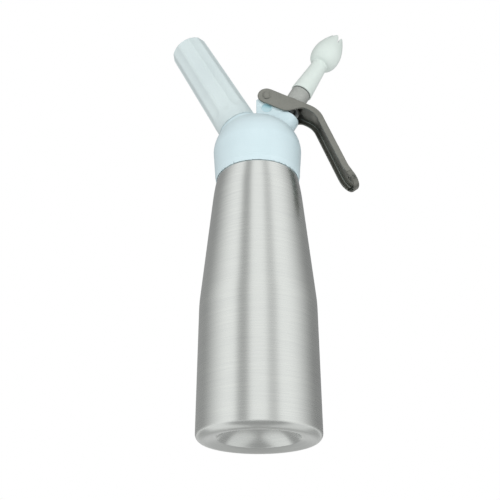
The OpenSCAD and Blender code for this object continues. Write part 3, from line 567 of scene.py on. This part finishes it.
def headField(x, y, z):
    s, blend = headSize, headBlend
    q, h = tiltedAxes(x, z, outletZ, outletTilt)
    p, t = tiltedAxes(x, z, inletZ, -inletTilt)
    r = np.hypot(x, y)
    # skirt, rolled lip and dome
    taper = s["lipR"] + (s["domeR"] - s["lipR"]) * (z - s["lipTop"]) / (s["domeZ"] - s["lipTop"])
    lean = s["lipIn"] / (s["lipTop"] - s["lipZ"])
    bevel = (r - s["lipR"] + (s["lipTop"] - z) * lean) / math.hypot(1, lean)
    up = z - s["domeZ"]
    reach = np.hypot(r / s["domeR"], up / s["domeH"])
    slope = np.hypot(r / s["domeR"] ** 2, up / s["domeH"] ** 2)
    dome = reach * (reach - 1) / np.maximum(slope, 1e-4)
    body = np.where(z < s["domeZ"], smax(r - taper, bevel, blend["lip"]), dome)
    bead = np.hypot(r - s["lipR"] + s["beadSunk"], z - s["lipTop"]) - s["bead"]
    body = smin(body, bead, blend["bead"])
    # turret and ear share their flat sides, and flow into the dome
    width = np.where(q > s["nose"], np.hypot(q - s["nose"], y), np.abs(y)) - s["turretW"] / 2
    px, pz = s["pivot"]
    turret = smax(np.maximum(-s["back"] - 1 - q, s["turretLow"] - h), h - s["turretTop"], blend["turret"])
    ear = smax(px - s["earBack"] - x, z - (pz - s["earDrop"]), blend["ear"])
    ear = np.maximum(ear, np.maximum(q + s["back"], s["earLow"] - z))
    ear = np.minimum(ear, np.hypot(x - px, z - pz) - s["earR"])
    side = smin(turret, ear, blend["side"])
    solid = smin(body, smax(side, width, blend["edge"]), blend["dome"])
    collar = smax(np.hypot(p, y) - s["collarR"], t - s["flat"], blend["collarTop"])
    solid = smin(solid, np.maximum(collar, s["collarLow"] - t), blend["collar"])
    solid = smax(solid, -np.maximum(s["flat"] - t, np.hypot(p, y) - s["spotR"]), blend["spot"])
    # bores from below
    hollow = np.minimum(np.maximum(r - s["lipBore"], z - s["coneTop"]),
                        np.maximum(r - s["neckBore"], z - s["seatZ"]))
    ball = np.where(z < s["domeZ"], r, np.hypot(r, z - s["domeZ"])) - s["cavityR"]
    solid = smax(solid, -np.minimum(hollow, ball), blend["hollow"])
    # bosses, valve passage, spring well, shank hole and pivot
    across, stub = np.hypot(q, y), np.hypot(p, y)
    bosses = np.minimum(capsule(across, h, *s["outletBoss"]), capsule(stub, t, *s["inletBoss"]))
    solid = np.minimum(solid, bosses)
    for cut in ([capsule(across, h, *bore) for bore in outletBores]
                + [capsule(stub, t, *bore) for bore in inletBores]
                + [np.hypot(x - px, z - pz) - s["pinHole"]]):
        solid = smax(solid, -cut, blend["bore"])
    markH = s["turretTop"] - s["markR"] - s["markInset"]
    mark = np.maximum(np.hypot(q + s["back"], h - markH) - s["markR"],
                      s["turretW"] / 2 - s["markDepth"] - np.abs(y))
    return smax(np.maximum(solid, s["lipZ"] - z), -mark, blend["mark"])


head = meshFromField("lacqueredHead", headField, (-34, -34, 188), (34, 34, 268), headSize["cell"], upright,
                     lacquer)
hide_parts("head")
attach(head, "head")

print("lever")
leverSize = {"at": (-18.9, 48.5), "backLean": math.radians(1.518), "endR": 6.9, "back": 41.5, "bendR": 20,
             "turn": math.radians(41.9), "curlAt": 52, "curlR": 30, "curl": math.radians(17.2), "pad": 58.8,
             "depth": 4.8, "width": 21.6, "sheet": 1.4, "arm": 17.4, "sweep": 14.5, "sweepSlope": 0.8,
             "padR": 10.5, "padHole": 2, "padHoleShift": 1, "padPit": (0.35, 3), "sideHole": 1.3,
             "sideHoleIn": 3, "sideTurn": math.radians(60), "sidePit": 0.4, "webHole": 5.6, "webLow": 50,
             "openBack": 3, "dimpleY": 7.3, "dimpleR": 1.6, "dimpleLow": 54.2, "dimpleTop": 55.6,
             "dentR": 1, "dentH": 56, "pinHole": 2.05, "cell": 0.43}
# How softly its edges and pressings run into each other
leverBlend = {"flare": 1, "crease": 0.8, "edge": 0.5, "back": 0.3, "dimple": 0.8, "dent": 0.5, "hole": 0.4}
toLever = (toOutlet @ Matrix.Translation((leverSize["at"][0], 0, leverSize["at"][1]))
           @ Matrix.Rotation(-leverSize["backLean"], 4, "Y"))
bendReach = leverSize["bendR"] * math.tan(leverSize["turn"] / 2)
curlPlace = (leverSize["back"] - bendReach + leverSize["bendR"] * leverSize["turn"] + leverSize["curlAt"]
             - bendReach)
padPlace = curlPlace + leverSize["pad"] - leverSize["curlAt"]


# Distance along the sheet's outer line, and depth below it
def alongLever(x, z):
    s = leverSize
    bendX, bendZ, r, turn = s["back"] - bendReach, s["endR"] - s["bendR"], s["bendR"], s["turn"]
    dx, dz = x - bendX, z - bendZ
    angle = np.arctan2(dx, dz)
    endX, endZ = r * math.sin(turn), r * math.cos(turn)
    u = np.where(dx < 0, x, np.where(angle < turn, bendX + r * angle,
                 bendX + r * turn + (dx - endX) * math.cos(turn) - (dz - endZ) * math.sin(turn)))
    d = np.where(dx < 0, s["endR"] - z, np.where(angle < turn, r - np.hypot(dx, dz),
                 -(dx - endX) * math.sin(turn) - (dz - endZ) * math.cos(turn)))
    # the end of the handle curls outward about a point above it
    along, above = u - curlPlace, d + s["curlR"]
    swing = np.arctan2(along, above)
    far = along * math.cos(s["curl"]) - above * math.sin(s["curl"])
    curled = (angle > turn) & (along > 0)
    u = np.where(curled, curlPlace + np.where(far > 0, s["curlR"] * s["curl"] + far, s["curlR"] * swing), u)
    d = np.where(curled, np.where(far > 0, along * math.sin(s["curl"]) + above * math.cos(s["curl"]),
                                  np.hypot(along, above)) - s["curlR"], d)
    return u, d


def leverField(x, y, z):
    s, blend = leverSize, leverBlend
    u, d = alongLever(x, z)
    q = s["at"][0] + x * math.cos(s["backLean"]) - z * math.sin(s["backLean"])
    h = s["at"][1] + x * math.sin(s["backLean"]) + z * math.cos(s["backLean"])
    side = np.abs(y)
    fromPad = u - padPlace
    top = np.where(x < 0, np.where(z > 0, np.hypot(x, z), -x) - s["endR"], -d)
    plan = smin(np.maximum(side - s["width"] / 2, fromPad), np.hypot(fromPad, y) - s["padR"], blend["flare"])
    shell = smax(top, plan, blend["crease"])
    shell = np.maximum(shell, -(shell + s["sheet"]))
    # the sides sweep from the depth of the arms to that of the handle
    sweep = np.clip((u - s["arm"]) / s["sweep"], 0, 1)
    low = 2 * s["endR"] - (2 * s["endR"] - s["depth"]) * (1 - np.cos(math.pi * sweep)) / 2
    slope = np.where((u > s["arm"]) & (u < s["arm"] + s["sweep"]), s["sweepSlope"], 1)
    shell = smax(shell, np.where(x < 0, np.hypot(x, z) - s["endR"], (d - low) * slope), blend["edge"])
    behind = np.maximum(np.maximum(x + s["openBack"], z), side - s["width"] / 2 + s["sheet"])
    shell = smax(shell, -behind, blend["back"])
    # two pressed dimples that bear on the flange
    dimple = np.hypot(q, side - s["dimpleY"])
    bead = np.where(h > s["dimpleLow"], dimple, np.sqrt(dimple ** 2 + (h - s["dimpleLow"]) ** 2)) - s["dimpleR"]
    shell = smin(shell, np.maximum(bead, h - s["dimpleTop"]), blend["dimple"])
    shell = smax(shell, s["dentR"] - np.sqrt(dimple ** 2 + (h - s["dentH"]) ** 2), blend["dent"])
    # pivot, stem hole, and the pad's holes: one through the near side, and blind ones, cut from inside, in
    # its face and its far side
    alongHole = fromPad * math.cos(s["sideTurn"]) + side * math.sin(s["sideTurn"])
    besideHole = fromPad * math.sin(s["sideTurn"]) - side * math.cos(s["sideTurn"])
    reach = np.where(y > 0, alongHole - s["padR"] + s["sidePit"], -1)
    for hole in (np.hypot(x, z) - s["pinHole"], np.maximum(np.hypot(q, y) - s["webHole"], s["webLow"] - h),
                 np.maximum(np.hypot(fromPad - s["padHoleShift"], y) - s["padHole"],
                            np.maximum(s["padPit"][0] - d, d - s["padPit"][1])),
                 np.maximum(np.hypot(besideHole, d - s["sideHoleIn"]) - s["sideHole"],
                            np.maximum(-alongHole, reach))):
        shell = smax(shell, -hole, blend["hole"])
    return shell


lever = meshFromField("pressedLever", leverField, (-8, -12.5, -42), (96, 12.5, 8.5), leverSize["cell"],
                      toLever, leverSteel)
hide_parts("lever")
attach(lever, "lever")

pinSize = {"r": 2, "headR": 3.6, "headH": 0.8, "side": 10.85}
pinProfile = [(0, 0), (pinSize["r"], 0), (pinSize["r"], pinSize["side"])]
pinProfile += [(pinSize["headR"] * math.cos(a), pinSize["side"] + pinSize["headH"] * math.sin(a))
               for a in np.linspace(0, math.pi / 2, 16)]
pivotAt = Matrix.Translation((headSize["pivot"][0], 0, headSize["pivot"][1]))
for name, turn in (("leverRivetFront", 90), ("leverRivetBack", -90)):
    outward = pivotAt @ Matrix.Rotation(math.radians(turn), 4, "X")
    half = lathe(name, pinProfile, outward, leverSteel, 64, closed=False)
    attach(half, "head")
    if turn > 0:
        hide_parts("lever_pin")

print("nozzle")
tipSize = {"start": 71, "footR": 8.65, "length": 64, "waistR": 6.3, "waist": 32.5, "waistLap": 3,
           "bulbR": 11.7, "bulb": 43, "pointR": 5, "wall": 1.6, "petals": 6, "notch": 6.5, "notchW": 1.9,
           "slit": 3, "slitW": 0.8, "slitLap": 2, "threadR": 6.7, "threadEnd": 10.7, "boreLap": 2.5,
           "cell": 0.4}
tipBlend = {"waist": 1.2, "rim": 0.7, "inside": 0.8, "bore": 0.3, "slit": 0.5, "petal": 0.6}


def tipField(x, y, z):
    s, blend = tipSize, tipBlend
    r = np.hypot(x, y)
    cone = r - s["footR"] + (s["footR"] - s["waistR"]) * np.clip(z / s["waist"], -1, 1.2)
    cone = np.maximum(cone, z - s["waist"] - s["waistLap"])
    # the bulb is a quarter of an ellipse below its widest place, and a cosine above
    out, up = s["bulbR"] - s["waistR"], s["bulb"] - s["waist"]
    a, b = np.maximum(r - s["waistR"], 0) / out, (s["bulb"] - z) / up
    lower = (a * a + b * b - 1) / np.maximum(2 * np.hypot(a / out, b / up), 0.08)
    rise, fall = s["length"] - s["bulb"], s["bulbR"] - s["pointR"]
    angle = math.pi / 2 * np.clip((z - s["bulb"]) / rise, 0, 1.1)
    upper = r - s["pointR"] - fall * np.cos(angle)
    upper = upper / np.sqrt(1 + (fall * np.sin(angle) * math.pi / 2 / rise) ** 2)
    bulb = np.where(z < s["bulb"], lower, upper)
    outer = smax(smin(cone, bulb, blend["waist"]), np.maximum(z - s["length"], -z), blend["rim"])
    inner = np.minimum(np.maximum(r - s["threadR"], z - s["threadEnd"]),
                       np.maximum(r - s["waistR"] + s["wall"], z - s["waist"] - s["boreLap"]))
    inner = smin(inner, bulb + s["wall"], blend["inside"])
    solid = smax(outer, -inner, blend["bore"])
    # pointed notches between the petals, each with a slit at its foot
    step = math.tau / s["petals"]
    around = (np.arctan2(y, x) + step / 2) % step - step / 2
    w = np.abs(r * np.sin(around))
    low = s["length"] - s["notch"]
    ratio = s["notchW"] / s["notch"]
    notch = (w - (z - low) * ratio) / math.hypot(1, ratio)
    slit = np.hypot(w, np.minimum(z - (low - s["slit"] + s["slitW"] / 2), 0)) - s["slitW"] / 2
    cut = smin(notch, np.maximum(slit, z - low - s["slitLap"]), blend["slit"])
    return smax(solid, -cut, blend["petal"])


tip = meshFromField("tulipTip", tipField, (-13, -13, -1), (13, 13, 66), tipSize["cell"],
                    toOutlet @ Matrix.Translation((0, 0, tipSize["start"])), tipPlastic)
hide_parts("decorating_tip")
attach(tip, "nozzle")

adapterSize = {"low": 57.9, "r": 7.85, "shoulder": 70.4, "top": 80.8, "threadR": 5.95, "stemR": 4.05,
               "boreR": 2.6, "pitch": 1.75, "turns": 5.0, "ridge": 0.5, "sunk": 0.05, "threadLow": 71}
adapterOutline = outlineOf(adapterSize, [
    ("stemR", "low", 0.2), ("r", "low", 0.45), ("r", "shoulder", 0.35), ("threadR", "shoulder", 0.2),
    ("threadR", "top", 0.6), ("boreR", "top", 0.3), ("boreR", "shoulder", 0), ("stemR", "shoulder", 0)])
adapter = lathe("blastedAdapter", adapterOutline, toOutlet, blastedSteel, 128)
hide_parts("tip_adapter")
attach(adapter, "valve")
adapterThread = bakeThread("adapterThread", adapterSize, adapterSize["threadR"], adapterSize["threadLow"],
                           toOutlet, blastedSteel)
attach(adapterThread, "valve")
sealSize = {"inR": 6.75, "outR": 7.8, "low": 70.42, "top": 70.98}
sealOutline = outlineOf(sealSize, [("inR", "low", 0.2), ("outR", "low", 0.22), ("outR", "top", 0.22),
                                   ("inR", "top", 0.2)], True, 4)
seal = lathe("tipSealRing", sealOutline, toOutlet, blackRubber, 96)
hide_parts("tip_seal")
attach(seal, "nozzle_seal")

stemSize = {"axis": 0, "low": 18.05, "footR": 2.2, "foot": 24.25, "r": 4, "floor": 26.45, "flange": 50,
            "flangeR": 8.4, "flangeTop": 52.2, "top": 70.4, "boreR": 2.6}
stemOutline = outlineOf(stemSize, [
    ("axis", "low", 0), ("footR", "low", 0.3), ("footR", "foot", 0), ("r", "foot", 0.3), ("r", "flange", 0),
    ("flangeR", "flange", 0.35), ("flangeR", "flangeTop", 0.35), ("r", "flangeTop", 0.3), ("r", "top", 0.2),
    ("boreR", "top", 0.2), ("boreR", "floor", 0.4), ("axis", "floor", 0)], False, 4)
stem = lathe("valveStem", stemOutline, toOutlet, turnedSteel, 96, closed=False)
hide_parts("valve_stem")
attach(stem, "valve")

springSize = {"coilR": 5.3, "wireR": 0.6, "height": 12.7, "curls": 5.0, "low": 36.65, "anchor": 36, "room": 14,
              "press": 3.5}


# The return spring: a spiral whose pitch eases at both ends
def springTree():
    g, given, (coil, wire, height, curls) = startTree(
        "returnSpring", ("Coil Radius", "Wire Radius", "Height", "Curls"), "Spring")
    path = g.node("GeometryNodeCurveSpiral", {}, {
        "Resolution": 36, "Rotations": curls, "Start Radius": coil, "End Radius": coil, "Height": height})
    u = g.node("GeometryNodeSplineParameter", {}, {}, "Factor")
    ease = (u * math.tau).math("SINE") * height * (-0.25 / math.tau)
    shift = g.node("ShaderNodeCombineXYZ", {}, {"Z": ease})
    path = g.node("GeometryNodeSetPosition", {}, {"Geometry": path, "Offset": shift})
    ring = g.node("GeometryNodeCurvePrimitiveCircle", {}, {"Resolution": 12, "Radius": wire})
    solid = g.node("GeometryNodeCurveToMesh", {}, {"Curve": path, "Profile Curve": ring, "Fill Caps": True})
    return endTree(g, given, solid)


spring = bake("returnSpring", springTree(), {
    "Coil Radius": springSize["coilR"] * mm, "Wire Radius": springSize["wireR"] * mm,
    "Height": springSize["height"] * mm, "Curls": springSize["curls"], "Finish": springSteel},
    matrix=toOutlet @ Matrix.Translation((0, 0, springSize["low"])))
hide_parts("valve_spring")
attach(spring, "head")
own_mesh(spring)

print("charger holder")
holderSize = {"start": 31.3, "r": 15.7, "endR": 14.5, "length": 88.45, "rim": 0.8, "round": 2.4, "crown": 0.6,
              "endWall": 3, "bore": 12.25, "boreLen": 22, "chargerBore": 9.2, "bottomRound": 1.5, "lead": 0.3,
              "flutes": 10, "cutter": 16, "depth": 0.9, "skin": 13.1, "plain": 8.7, "soft": 0.22}


# Cuts the flutes into a plain shell by moving its points towards the axis
def fluteTree():
    g, given, (flutes, cutter, depth, foot, skin, taper, start, soft) = startTree("flutedHolder", (
        "Flutes", "Cutter Radius", "Depth", "Foot Radius", "Skin Radius", "Taper", "Start", "Softness"),
        "Holder", "Shell")
    x, y, z = g.axes(g.node("GeometryNodeInputPosition"))
    r = (x * x + y * y) ** 0.5
    # angle from the middle of the nearest flute; a rib faces the front
    turn = (y.math("ARCTAN2", x) + math.pi / 2) * flutes / math.tau
    angle = (turn.math("FRACT") - 0.5) * math.tau / flutes
    reach = foot - z * taper - depth + cutter
    runOut = (cutter * cutter - (cutter - depth) * (cutter - depth)) ** 0.5
    below = (start + runOut - z).math("MAXIMUM", 0.0)
    cross = reach * angle.math("SINE")
    under = (cutter * cutter - below * below - cross * cross).math("MAXIMUM", 1e-9)
    fluted = reach * angle.math("COSINE") - under ** 0.5
    wanted = r.math("SMOOTH_MIN", fluted, soft)
    scale = wanted / r.math("MAXIMUM", 1e-6)
    moved = g.node("ShaderNodeCombineXYZ", {}, [x * scale, y * scale, z])
    outside = g.node("FunctionNodeCompare", {"operation": "GREATER_THAN"}, [r, skin])
    shaped = g.node("GeometryNodeSetPosition", {}, {
        "Geometry": given, "Selection": outside, "Position": moved})
    return endTree(g, given, shaped)


def holderOutline(s):
    shoulder = s["length"] - s["crown"] - s["round"]
    side = [(s["r"] - (s["r"] - s["endR"]) * t, s["rim"] + (shoulder - s["rim"]) * t)
            for t in np.linspace(0, 1, 90)[1:-1]]
    inEnd = s["length"] - s["endWall"]
    end = arc(s["endR"] - s["round"], shoulder, s["round"], 0, 90, 12)
    cap = [(end[-1][0] * (1 - t), end[-1][1] + s["crown"] * (1 - (1 - t) ** 2))
           for t in np.linspace(0, 1, 12)[1:]]
    inside = rounded([(0, inEnd, 0), (s["chargerBore"], inEnd, s["bottomRound"]),
                      (s["chargerBore"], s["boreLen"], s["lead"]), (s["bore"], s["boreLen"], s["lead"]),
                      (s["bore"], 0, s["lead"])], False, 4)
    return (arc(s["r"] - s["rim"], s["rim"], s["rim"], -90, 0, 8) + side + end + cap + inside[:-1]
            + [(s["bore"], s["lead"]), (s["bore"] + s["lead"], 0)])


shell = lathe("holderShell", holderOutline(holderSize), upright, holderPlastic, 320)
holder = bake("flutedHolder", fluteTree(), {
    "Flutes": float(holderSize["flutes"]), "Cutter Radius": holderSize["cutter"] * mm,
    "Depth": holderSize["depth"] * mm, "Foot Radius": holderSize["r"] * mm,
    "Skin Radius": holderSize["skin"] * mm, "Start": holderSize["plain"] * mm,
    "Taper": (holderSize["r"] - holderSize["endR"]) / holderSize["length"],
    "Softness": holderSize["soft"] * mm, "Finish": holderPlastic},
    host=shell, matrix=toInlet @ Matrix.Translation((0, 0, holderSize["start"])))
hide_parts("charger_holder")
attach(holder, "holder")

stubSize = {"tail": 13, "tailR": 4, "tailTop": 17, "shankR": 6.5, "low": 31, "r": 9.85, "top": 53, "neckR": 4.6,
            "neck": 48.65, "pinR": 3.15, "pin": 41.65, "boreR": 1.2, "pitch": 2, "turns": 9.0, "ridge": 0.55,
            "sunk": 0.05, "threadLow": 32.6}
stubOutline = outlineOf(stubSize, [
    ("boreR", "tail", 0), ("tailR", "tail", 0.3), ("tailR", "tailTop", 0), ("shankR", "tailTop", 0.2),
    ("shankR", "low", 0), ("r", "low", 0.4), ("r", "top", 0.8), ("neckR", "top", 0.3), ("neckR", "neck", 0),
    ("pinR", "neck", 0), ("pinR", "pin", 0), ("boreR", "pin", 0)], True, 4)
stub = lathe("inletStub", stubOutline, toInlet, inletSteel, 96)
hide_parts("inlet_insert")
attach(stub, "head")
stubThread = bakeThread("inletThread", stubSize, stubSize["r"], stubSize["threadLow"], toInlet, inletSteel)
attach(stubThread, "head")

print("finishes of the carried-over pieces")
for node, finish in {"head_gasket": greySilicone, "inlet_washer": brightSteel, "inlet_nut": inletSteel,
                     "piercing_pin": inletSteel, "charger_gasket": blackRubber, "check_valve": blackRubber,
                     "charger": chargerSteel, "charger_seal": brightSteel, "holder_insert": brass,
                     "valve_bush": whitePlastic, "stem_o_ring": blackRubber, "valve_seal": blackRubber,
                     "valve_washer": brightSteel, "valve_nut": turnedSteel}.items():
    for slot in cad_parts[node].material_slots:
        slot.material = finish

print("stage, lamps and camera")
floorSize = {"half": 4, "drop": 0.0003, "tone": (0.93, 0.93, 0.93), "lift": 0.22}
reach = floorSize["half"]
floorMesh = bpy.data.meshes.new("floor")
floorMesh.from_pydata([(-reach, -reach, 0), (reach, -reach, 0), (reach, reach, 0), (-reach, reach, 0)], [],
                      [(0, 1, 2, 3)])
floor = newObject("floor", floorMesh)
floor.location.z = -floorSize["drop"]
floorMaterial, g, shader = newMaterial("paleFloor")
feed(g, shader, {"Base Color": floorSize["tone"], "Roughness": 0.9,
                 "Emission Color": (1.0, 1.0, 1.0), "Emission Strength": floorSize["lift"]})
# only the camera sees the floor, and only from above
below = g.node("ShaderNodeNewGeometry", {}, {}, "Backfacing")
seen = g.node("ShaderNodeLightPath", {}, {}, "Is Camera Ray")
hidden = below.math("MAXIMUM", 1 - seen)
clear = g.node("ShaderNodeBsdfTransparent")
both = g.node("ShaderNodeMixShader", {}, [hidden, Wire(g, shader.outputs[0]), clear])
g.tree.links.new(both.socket, floorMaterial.node_tree.nodes["Material Output"].inputs["Surface"])
floorMesh.materials.append(floorMaterial)

# The world is white to the camera. Metal sees soft darker stripes in it, each a direction, a width and
# a depth. Directions are in degrees from the camera's side, heights from -1, straight down, to 1
stripes = {"left flag": (-140, 84, 0.66), "right flag": (142, 88, 0.72), "left gap": (-29, 18, 0.58),
           "right gap": (26, 15, 0.38)}
# Below the table's level the room is dark in front and behind, and pale on each side
room = {"front": 0.36, "left": 0.50, "right": 0.40, "back": 0.17, "sideFrom": (42, 72), "sideTo": (126, 150),
        "sideCut": 26, "cutHeight": (-0.75, -0.5), "middle": (-40, 40), "backFrom": (140, 172),
        "backHeight": (-0.75, -0.55), "ground": (-0.26, -0.03), "stripesFrom": (-0.12, 0.06), "soft": 0.62,
        "softFall": 0.34, "softHeight": (0.1, 0.8)}
world = bpy.data.worlds.new("studio")
scene.world = world
world.use_nodes = True
g = Graph(world.node_tree)
background = world.node_tree.nodes["Background"]
x, y, up = g.axes(g.node("ShaderNodeTexCoord", output="Generated"))
azimuth = x.math("ARCTAN2", y * -1) * (180 / math.pi)
around = sum(g.smooth((azimuth - place).math("ABSOLUTE"), wide * 0.2, wide, dark, 0.0)
             for place, wide, dark in stripes.values())
turned = azimuth.math("ABSOLUTE")
cut = turned + g.smooth(up, *room["cutHeight"]) * room["sideCut"]
beside = g.smooth(turned, *room["sideFrom"]) * g.smooth(cut, *room["sideTo"], 1.0, 0.0)
behind = g.smooth(turned, *room["backFrom"], 0.0, room["back"]) * g.smooth(up, *room["backHeight"])
low = room["front"] + beside * g.smooth(azimuth, *room["middle"], room["left"], room["right"]) + behind
ground = g.smooth(up, *room["ground"], 1.0, 0.0)
level = (1 - around * g.smooth(up, *room["stripesFrom"])) * (1 - ground) + low * ground
path = g.node("ShaderNodeLightPath")
direct = path.part("Is Camera Ray")
gloss = path.part("Is Glossy Ray").math("MAXIMUM", path.part("Is Transmission Ray"))
soft = room["soft"] - room["softFall"] * g.smooth(up, *room["softHeight"])
strength = direct + (1 - direct) * (gloss * level + (1 - gloss) * soft)
g.tree.links.new(strength.socket, background.inputs["Strength"])
background.inputs["Color"].default_value = (1, 1, 1, 1)

# Each lamp has a place, a size, a power and a colour
lampSettings = {"key": ((-0.9, -1.1, 0.45), (0.7, 0.9), 6.4, (1, 0.99, 0.97)),
                "fill": ((1.0, -0.9, 0.35), (0.7, 0.9), 5.0, (0.98, 1, 0.98)),
                "below": ((0.1, -0.8, -0.8), (0.8, 0.6), 4.0, (1, 1, 1)),
                "top": ((0.1, 0.2, 1.3), (0.8, 0.8), 1.0, (1, 1, 1)),
                "back": ((0.3, 1.1, 0.5), (0.9, 0.7), 1.6, (1, 1, 1))}
aimHeight = 0.17
for name, (place, size, power, colour) in lampSettings.items():
    lamp = bpy.data.lights.new(name, "AREA")
    lamp.shape = "RECTANGLE"
    lamp.size, lamp.size_y = size
    lamp.energy, lamp.color = power, colour
    stand = newObject(name, lamp)
    stand.location = place
    # metal mirrors the studio round it, and not the lamps
    stand.visible_glossy = False
    aim = Matrix.Translation((0, 0, aimHeight)).translation - stand.location
    stand.rotation_euler = aim.to_track_quat("-Z", "Y").to_euler()

cameraSettings = {"place": (0, -0.450, -0.098), "lookUp": 27.2, "lookLeft": 0.71, "lens": 51.98, "sensor": 36}
camera = newObject("camera", bpy.data.cameras.new("camera"))
camera.location = cameraSettings["place"]
camera.rotation_euler = (math.radians(90 + cameraSettings["lookUp"]), 0,
                         math.radians(cameraSettings["lookLeft"]))
camera.data.lens = cameraSettings["lens"]
camera.data.sensor_width = cameraSettings["sensor"]
camera.data.clip_start, camera.data.clip_end = 0.01, 20
scene.camera = camera
